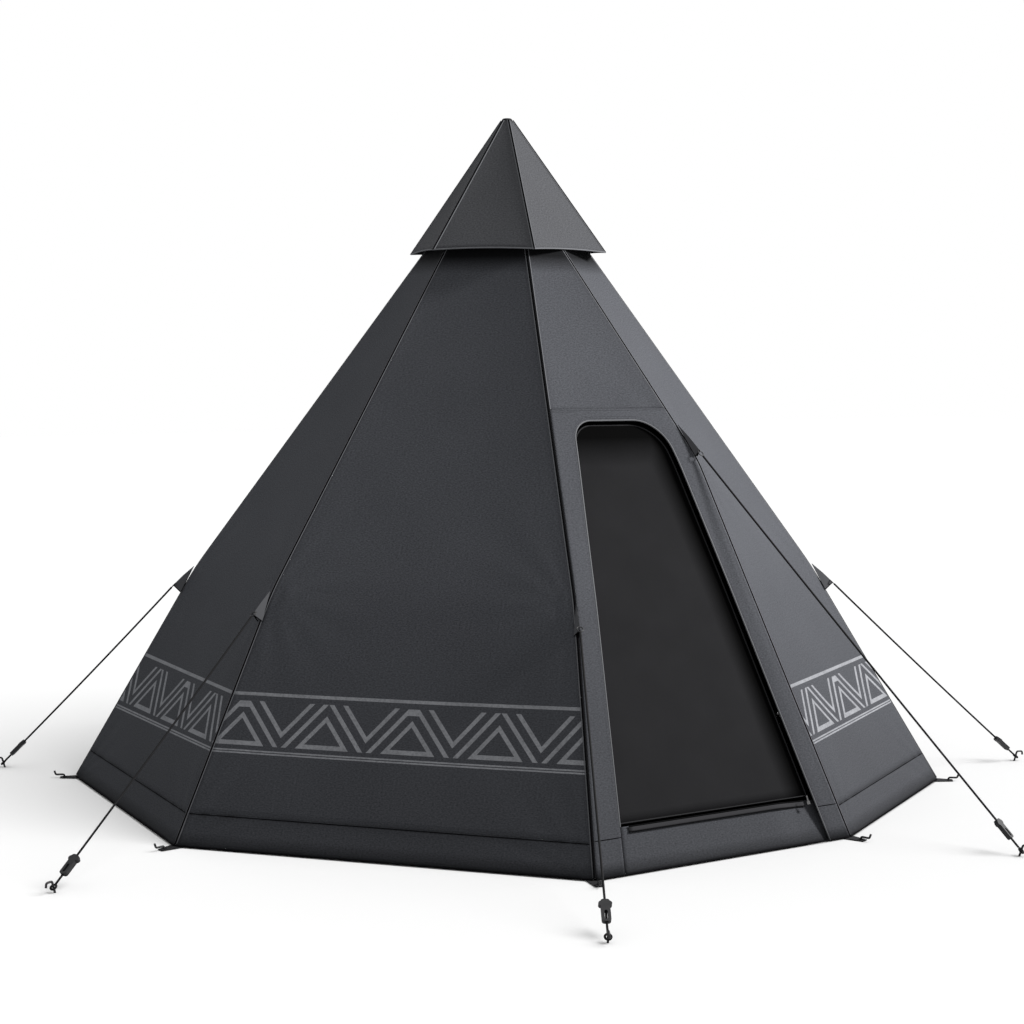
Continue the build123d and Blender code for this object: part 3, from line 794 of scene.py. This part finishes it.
def make_door_surround(fabric):
    """The sheet round the door opening: two posts and a head, cut in one piece."""
    left, right = DOOR_RIDGES
    edges = [opening_edge(side, 0, 0, HEM_HEIGHT) for side in (0, 1)]
    top_start, top_end = edges[0][-1], edges[1][-1]
    crown = [top_start.lerp(top_end, share) for share in steps(0, 1, 12)[1:-1]]
    inner = edges[0] + crown + edges[1][::-1]
    ridge_heights = steps(HEM_HEIGHT, DOOR_SEAM_HEIGHT, EDGE_ROWS)
    head_count = len(inner) - 2 * len(ridge_heights)
    head_left, head_right = ridge_at(left, DOOR_SEAM_HEIGHT).x, ridge_at(right, DOOR_SEAM_HEIGHT).x
    head_places = steps(head_left, head_right, head_count + 1)[1:-1]
    outer = [Vector((ridge_at(left, z).x + SEAM_EDGE, z)) for z in ridge_heights]
    outer += [Vector((x, DOOR_SEAM_HEIGHT)) for x in head_places]
    outer += [Vector((ridge_at(right, z).x - SEAM_EDGE, z)) for z in ridge_heights[::-1]]

    def flat(u, v):
        return outer[v].lerp(inner[v], u)

    def point(u, v):
        place = flat(u, v)
        waves = ripple(place.x * 3.1, place.y * 2.3, 31.0) * smooth(u * (1 - u) * 4)
        return door_point(place.x, place.y, CLOTH_THICKNESS + waves)

    def cloth(u, v):
        place = flat(u, v)
        return place.x, place.y * UV_SLOPE

    def edge_gap(u, v):
        return min(u, 1 - u) * (outer[v] - inner[v]).length

    def seam_gap(u, v):
        return DOOR_SEAM_HEIGHT - flat(u, v).y

    piece = lattice("door_surround_cloth", steps(0, 1, 12), range(len(inner)), point, cloth, fabric,
                    {"ridge_gap": edge_gap, "seam_gap": seam_gap})
    for polygon in piece.data.polygons:
        polygon.flip()
    thicken(piece)
    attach(piece, SHELL)
    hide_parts("door_surround")


def make_door_top(fabric):
    piece = make_side("door_top_cloth", 9, *DOOR_RIDGES, DOOR_SEAM_HEIGHT - SEAM_OVERLAP / 2,
                      TOP_HEIGHT, rows=40, stand_off=0.0018, material=fabric)
    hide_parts("door_top_panel")


def make_sill(fabric):
    """The strip under the door. Its right end is tucked behind the door post, most at the top."""
    tuck_start, tuck_reach, tuck_at_foot = 0.72, 0.26, 0.25
    behind_post = 0.03

    def x_at(u, z):
        return between(opening_x(z, 0), opening_x(z, 1) + behind_post, u)

    def point(u, z):
        rise = between(tuck_at_foot, 1, z / SILL_HEIGHT)
        tuck = SILL_TUCK * smooth((u - tuck_start) / tuck_reach) * rise
        return door_point(x_at(u, z), z, ripple(u * 4.0, z * 6.0, 12.0) * smooth(u * 8) - tuck)

    def cloth(u, z):
        return x_at(u, z), z * UV_SLOPE

    def ridge_gap(u, z):
        """Far enough from any ridge that the sill has no row of stitches up it."""
        return 1.0

    def seam_gap(u, z):
        return min(z - HEM_HEIGHT, SILL_HEIGHT - z)

    piece = lattice("door_sill_cloth", steps(0, 1, 50), steps(HEM_HEIGHT, SILL_HEIGHT, 10), point, cloth,
                    fabric, {"ridge_gap": ridge_gap, "seam_gap": seam_gap})
    thicken(piece)
    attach(piece, SHELL)
    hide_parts("door_sill")


def make_binding(material):
    """A rolled tape round the opening's edge. The left one stops on the sill."""
    left, right = opening_edge(0, 0, 0, SILL_HEIGHT), opening_edge(1, 0, 0, HEM_HEIGHT)
    line = [door_point(place.x, place.y, 0.001) for place in left + right[::-1]]
    piece = strands("door_binding_roll", [line], BINDING_RADIUS, material)
    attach(piece, SHELL)
    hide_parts("door_binding")


def make_level_seams(thread):
    """Dark seam lines: skirts, the seam over the door, both door posts and the sill's left end."""
    end_gap, end_share = 0.008, 0.008
    seam_radius, side_lift, post_lift, sill_lift = 0.0015, 0.0018, 0.0022, 0.0012
    lines = []
    for index, left, right in sides():
        height = DOOR_SEAM_HEIGHT if index == DOOR_SIDE else SKIRT_HEIGHT - SEAM_OVERLAP
        start, end = ridge_at(left, height), ridge_at(right, height)
        normal = side_normal(left, right, height)
        points = []
        for u in steps(end_share, 1 - end_share, 24):
            points.append(start.lerp(end, u) + normal * (side_lift - PANEL_SAG * sag_share(u, height)))
        lines.append(points)
    left, right = DOOR_RIDGES
    posts = ((ridge_at(left, SKIRT_HEIGHT).x + end_gap, opening_x(SKIRT_HEIGHT, 0)),
             (opening_x(SKIRT_HEIGHT, 1), ridge_at(right, SKIRT_HEIGHT).x - end_gap))
    for start, end in posts:
        lines.append([door_point(x, SKIRT_HEIGHT, post_lift) for x in steps(start, end, 6)])
    lines.append([door_point(opening_x(z, 0), z, sill_lift) for z in steps(HEM_HEIGHT, SILL_HEIGHT, 8)])
    piece = strands("seam_lines", lines, seam_radius, thread, 2)
    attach(piece, SHELL)


def make_hem(material):
    """The dark bound edge at the foot of every side and of the sill."""
    end_share = 0.006
    lines = []
    for index, left, right in sides():
        start, end = ridge_at(left, HEM_HEIGHT), ridge_at(right, HEM_HEIGHT)
        lines.append([start.lerp(end, u) for u in steps(end_share, 1 - end_share, 12)])
    piece = strands("hem_binding", lines, HEM_RADIUS, material)
    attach(piece, SHELL)


def make_zip(tape_material, coil_material):
    """The zip tape along the sill, with a coil at both of its edges."""
    stand_off, coil_stand_off = 0.005, 0.0008
    tuck_share, tuck_start = 0.8, 0.80
    columns = steps(0, 1, 40)

    def x_at(u, z):
        return between(opening_x(z, 0) + ZIP_END_GAP, opening_x(z, 1) - ZIP_END_GAP, u)

    def point(u, z, lift=0.0):
        tuck = SILL_TUCK * tuck_share * smooth((u - tuck_start) / (1 - tuck_start))
        return door_point(x_at(u, z), z, stand_off - tuck + lift)

    def cloth(u, z):
        return x_at(u, z), z

    tape = lattice("zip_tape_strip", columns, steps(ZIP_LOW, ZIP_HIGH, 3), point, cloth, tape_material)
    thicken(tape, 0.001)
    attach(tape, SHELL)
    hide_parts("door_zip")
    lines = [[point(u, z, coil_stand_off) for u in columns] for z in (ZIP_LOW, ZIP_HIGH)]
    coils = strands("zip_coils", lines, ZIP_COIL_RADIUS, coil_material, 2)
    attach(coils, SHELL)


def make_leaf(mesh_cloth, tape_material):
    """The mesh door: one sheet behind the opening, following the door side, bound round its edge."""
    ripple_height, binding_radius = 0.0012, 0.003
    head_share = 0.65
    left = opening_edge(0, LEAF_SIDE_GAP, LEAF_TOP_GAP, LEAF_FOOT_HEIGHT)
    right = opening_edge(1, LEAF_SIDE_GAP, LEAF_TOP_GAP, LEAF_FOOT_HEIGHT)
    set_back = Vector((0, LEAF_SET_BACK, 0))

    def flat(u, v):
        return left[v].lerp(right[v], u)

    def point(u, v):
        place = flat(u, v)
        waves = ripple(place.x * 2.5, place.y * 1.6, 7.0, ripple_height) * smooth(u * (1 - u) * 10)
        return door_point(place.x, place.y, waves) + set_back

    def cloth(u, v):
        place = flat(u, v)
        return place.x, place.y * UV_SLOPE

    def painted_edge_shade(u, v):
        """How far a point is from the leaf's free edge and its head, near which the leaf is painted darker
        as painted shade.
        """
        from_head = OPENING_TOP - LEAF_TOP_GAP - flat(u, v).y
        return min((1 - u) * (right[v] - left[v]).length, head_share * from_head)

    piece = lattice("door_mesh_cloth", spread(32), range(len(left)), point, cloth, mesh_cloth,
                    {"painted_edge_shade": painted_edge_shade})
    thicken(piece, NETTING_THICKNESS)
    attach(piece, "inner_door")
    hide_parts("inner_door")
    outline = left + right[::-1] + left[:1]
    line = [door_point(place.x, place.y) + set_back for place in outline]
    edge = strands("door_mesh_binding", [line], binding_radius, tape_material)
    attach(edge, "inner_door")


# --- Crown and hood ---
def hood_point(turn, share, lift=0.0):
    """A point on the hood: turn counts its six sides round, share goes from rim to tip."""
    side = math.floor(turn)
    u = turn - side
    angles = [HOOD_FIRST_RIDGE + 360 / HOOD_SIDES * (side + i) for i in (0, 1)]
    arch = HOOD_RIM_ARCH * 4 * u * (1 - u) * (1 - share) ** 2
    radius = between(HOOD_RIM_RADIUS, HOOD_TIP_RADIUS, share)
    height = between(HOOD_RIM_HEIGHT, HOOD_TIP_HEIGHT, share)
    place = polar(radius, angles[0], height).lerp(polar(radius, angles[1], height), u)
    hollow = HOOD_SAG * 4 * u * (1 - u) * math.sin(math.pi * min(1.0, share + 0.12))
    facing = radial(sum(angles) / 2)
    outward = (facing * HOOD_FACE_OUT[0] + UP * HOOD_FACE_OUT[1]).normalized()
    up_the_side = (facing * HOOD_FACE_UP[0] + UP * HOOD_FACE_UP[1]).normalized()
    return place + outward * (lift - hollow) + up_the_side * arch


def make_hood(fabric, highlit_lip_fabric, groove):
    """Six sides of cloth with a turned hem, and each ridge a dark cord between two folds."""
    hem_radius, cord_radius, fold_radius = 0.003, 0.0028, 0.0022
    cord_stand_off, fold_shift = 0.001, 0.0052
    side_width, side_taper, side_length = 0.45, 0.93, 0.70
    turns = turns_round(HOOD_SIDES, spread(16))

    def cloth(turn, share):
        side = math.floor(turn)
        return (turn - side - 0.5) * side_width * (1 - side_taper * share) + side, share * side_length

    piece = lattice("hood_cloth", turns, steps(0, HOOD_TIP_SHARE, 30), hood_point, cloth, fabric,
                    closed=True)
    thicken(piece)
    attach(piece, SHELL)
    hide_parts("vent_hood")
    # The hem and the folds are in lighter cloth, partly a painted highlight.
    rim = [hood_point(turn, 0.002) for turn in turns]
    hem = strands("hood_hem", [rim + rim[:1]], hem_radius, highlit_lip_fabric)
    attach(hem, SHELL)
    shares = steps(0, HOOD_TIP_SHARE, 24)
    grooves, lips = [], []
    for side in range(HOOD_SIDES):
        grooves.append([hood_point(side, share, cord_stand_off) for share in shares])
        for way in (-1, 1):
            line = []
            for share in shares:
                middle, beside = hood_point(side, share), hood_point(side + way * 0.05, share)
                line.append(middle + (beside - middle).normalized() * fold_shift)
            lips.append(line)
    cords = strands("hood_cords", grooves, cord_radius, groove)
    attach(cords, SHELL)
    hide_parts("hood_piping")
    folds = strands("hood_folds", lips, fold_radius, highlit_lip_fabric)
    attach(folds, SHELL)


def make_hood_cap(webbing):
    """A low dome with a full shoulder over the pole's end, open by a hair at its middle."""
    radius, foot, rise = 0.0225, 2.782, 0.0105
    shoulder, pin_hole = 0.4, 0.0002

    def point(angle, v):
        turn = v * math.pi / 2
        return polar(radius * math.cos(turn) ** shoulder + pin_hole, angle, foot + rise * math.sin(turn))

    def cloth(angle, v):
        return math.radians(angle) * radius, v * radius

    cap = lattice("hood_cap", range(0, 360, 15), steps(0, 1, 8), point, cloth, webbing, closed=True)
    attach(cap, SHELL)


def make_vent_mesh(mesh_cloth):
    """Eight sides of netting from the top of the walls to the boot on the pole."""
    clearance = 0.0005

    def point(turn, share):
        left, right, along = ring_side(turn)
        radius = between(TOP_RADIUS, MESH_TOP_RADIUS, share)
        height = between(TOP_HEIGHT, MESH_TOP_HEIGHT, share) + clearance
        return polar(radius, left.top_angle, height).lerp(polar(radius, right.top_angle, height), along)

    def cloth(turn, share):
        return turn * 0.2, share * 0.4

    turns = turns_round(len(RIDGES), steps(0, 1, 6))
    piece = lattice("vent_mesh_cloth", turns, steps(0, 1, 12), point, cloth, mesh_cloth, closed=True)
    thicken(piece, NETTING_THICKNESS)
    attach(piece, SHELL)
    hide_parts("vent_mesh")


def make_groundsheet(coated):
    """A coated sheet on the ground, with low creases from being folded."""
    crease_height = 0.0012

    def point(turn, share):
        left, right, along = ring_side(turn)
        start = polar(left.base_radius - GROUNDSHEET_INSET, left.base_angle, 0)
        end = polar(right.base_radius - GROUNDSHEET_INSET, right.base_angle, 0)
        place = start.lerp(end, along) * share
        crease = ripple(place.x * 3, place.y * 3, 2.0, crease_height)
        return place + UP * (GROUNDSHEET_HEIGHT - crease_height + crease)

    def cloth(turn, share):
        return point(turn, share).xy

    turns = turns_round(len(RIDGES), steps(0, 1, 8))
    piece = lattice("groundsheet_cloth", turns, steps(1, 0.02, 40), point, cloth, coated, closed=True)
    thicken(piece, 0.0006)
    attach(piece, SHELL)
    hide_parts("groundsheet")


# --- Guy lines ---
def on_door_post(ridge):
    return ridge.guy_height == DOOR_GUY_HEIGHT


def guy_eyelet(ridge):
    """The tab's first point on the ridge, its direction, its stand-off direction and its eyelet."""
    corner, guy, top = ridge_points(ridge)
    outward = radial(ridge.guy_angle)
    along = ((top if on_door_post(ridge) else corner) - guy).normalized()
    away = (outward - along * outward.dot(along)).normalized()
    start = guy + away * (PIPING_RADIUS + 0.0008) + along * 0.004
    if on_door_post(ridge):
        return start, along, away, start + along * (DOOR_TAB_LENGTH * 0.05) + away * (TAB_STAND_OFF * 0.45)
    return start, along, away, start + along * (TAB_LENGTH * 0.82) + away * (TAB_STAND_OFF * 0.8)


def make_tabs(webbing, edging):
    """Folded gussets sewn over the ridges, open at the foot, with the rope's eyelet in the fold."""
    seam, crease, lip_margin = 0.004, 0.003, 0.012
    webbing_thickness, hem_radius = 0.002, 0.0022
    verts, faces, hems = [], [], []
    for ridge in RIDGES:
        start, along, away, eyelet = guy_eyelet(ridge)
        lip = eyelet + away * seam
        if on_door_post(ridge):
            half = DOOR_TAB_HALF_WIDTH
            tip = start + along * DOOR_TAB_LENGTH
            foot = start
        else:
            half = TAB_HALF_WIDTH
            tip = start - along * seam
            foot = start + along * TAB_LENGTH
            lip += along * lip_margin
        across = along.cross(away).normalized() * half
        corners = [foot - across - away * seam, foot + across - away * seam]
        first = len(verts)
        verts += [tip + away * webbing_thickness, corners[0], lip, corners[1]]
        verts.append(tip.lerp(lip, 0.5) + away * crease)
        faces += [(first, first + 1, first + 4), (first + 1, first + 2, first + 4),
                  (first, first + 4, first + 3), (first + 4, first + 2, first + 3)]
        hems.append([corners[0], lip, corners[1]])
    mesh = bpy.data.meshes.new("guy_gussets")
    mesh.from_pydata(verts, [], faces)
    piece = link(mesh, "guy_gussets", webbing)
    thicken(piece, webbing_thickness).modifiers[0].offset = 0
    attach(piece, SHELL)
    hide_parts("guy_tabs")
    edge = strands("gusset_hems", hems, hem_radius, edging)
    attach(edge, SHELL)


def make_ropes(rope_material):
    """Eight taut ropes, from the rings on the tabs to the loops on the pegs."""
    for number, route in enumerate(ROPE_ROUTES, start=1):
        curve = round_curve(f"guy_rope_{number}_line", ROPE_DIAMETER / 2, 4)
        spline = add_spline(curve, "NURBS", route)
        spline.order_u = 3
        spline.use_endpoint_u = True
        spline.resolution_u = 24
        piece = link(curve, f"guy_rope_{number}_line", rope_material)
        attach(piece, SHELL)
        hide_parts(f"guy_rope_{number}")


# --- CAD nodes that stay ---
def finish_node(name, material, bevel=0.0):
    """Give a CAD node its material, and soften its edges by a bevel of that width."""
    node = nodes[name]
    node.data.materials.clear()
    node.data.materials.append(material)
    if bevel:
        modifier = node.modifiers.new("softened_edges", "BEVEL")
        modifier.width = bevel
        modifier.segments = 2
        modifier.limit_method = "ANGLE"
        modifier.angle_limit = math.radians(40)


def dress_nodes(webbing, rope):
    steel = moulded("pole_coating", (0.05, 0.05, 0.052), 0.45, specular=0.5)
    rubber = moulded("rubber_black", (0.02, 0.02, 0.02), 0.7, specular=0.4)
    peg_steel = moulded("peg_steel_black", (0.008, 0.008, 0.009), 0.5, specular=0.25)
    plastic = moulded("runner_nylon", (0.008, 0.008, 0.009), 0.55, specular=0.25)
    metal = moulded("zip_metal_dark", (0.010, 0.010, 0.011), 0.55, specular=0.2)
    for number in range(1, 5):
        finish_node(f"pole_section_{number}", steel)
    finish_node("pole_foot", rubber, 0.001)
    finish_node("pole_finial", rubber)
    finish_node("crown_boot", webbing, 0.0015)
    for name in ("guy_rings", "guy_pegs", "corner_pegs"):
        finish_node(name, peg_steel)
    finish_node("corner_straps", webbing, 0.0006)
    finish_node("hood_straps", webbing, 0.0004)
    finish_node("peg_loops", rope)
    finish_node("zip_slider", metal, 0.0006)
    for number in range(1, len(RIDGES) + 1):
        finish_node(f"guy_runner_{number}", plastic, 0.0012)


make_camera()
rope_material = braided("rope_braid", (0.005, 0.005, 0.0055), 0.005)
make_ropes(rope_material)
make_world()
make_lights(make_floor())
wall_fabric = woven_fabric("wall_weave", CLOTH_COLOUR, printed=True, stitched=True, shaded_crown=True)
door_fabric = woven_fabric("door_side_weave", CLOTH_COLOUR, stitched=True, shaded_crown=True)
hood_fabric = woven_fabric("hood_weave", (0.036, 0.037, 0.040))
# Lighter than the side cloth: a painted highlight on the ridge folds and the hood's hem, on top of the
# light their round shape catches.
highlit_fold_fabric = woven_fabric("folded_edge_weave_painted_highlight", (0.085, 0.087, 0.093), heather=0.05)
edge_tape = woven_fabric("binding_tape", (0.085, 0.087, 0.092), heather=0.05)
zip_tape_fabric = woven_fabric("zip_tape_weave", (0.022, 0.022, 0.024), heather=0.05)
door_netting = netting("door_netting", (0.0085, 0.0085, 0.0091), painted_edge_shade=True)
vent_netting = netting("vent_netting", (0.012, 0.012, 0.013))
webbing_material = braided("webbing_rib", (0.009, 0.009, 0.010), 0.0022)
groove_material = braided("seam_cord", (0.0015, 0.0015, 0.0018), 0.003, specular=0.02)
gusset_fabric = woven_fabric("gusset_weave", (0.05, 0.051, 0.055), heather=0.08)
ground_coating = woven_fabric("groundsheet_coating", (0.03, 0.031, 0.033), heather=0.05)
make_sides(wall_fabric)
make_ridge_seams(highlit_fold_fabric, groove_material)
make_door_surround(door_fabric)
make_door_top(door_fabric)
make_sill(door_fabric)
make_binding(edge_tape)
make_level_seams(groove_material)
make_hem(groove_material)
make_zip(zip_tape_fabric, groove_material)
make_leaf(door_netting, webbing_material)
make_hood(hood_fabric, highlit_fold_fabric, groove_material)
make_hood_cap(webbing_material)
make_vent_mesh(vent_netting)
make_groundsheet(ground_coating)
make_tabs(gusset_fabric, groove_material)
dress_nodes(webbing_material, rope_material)
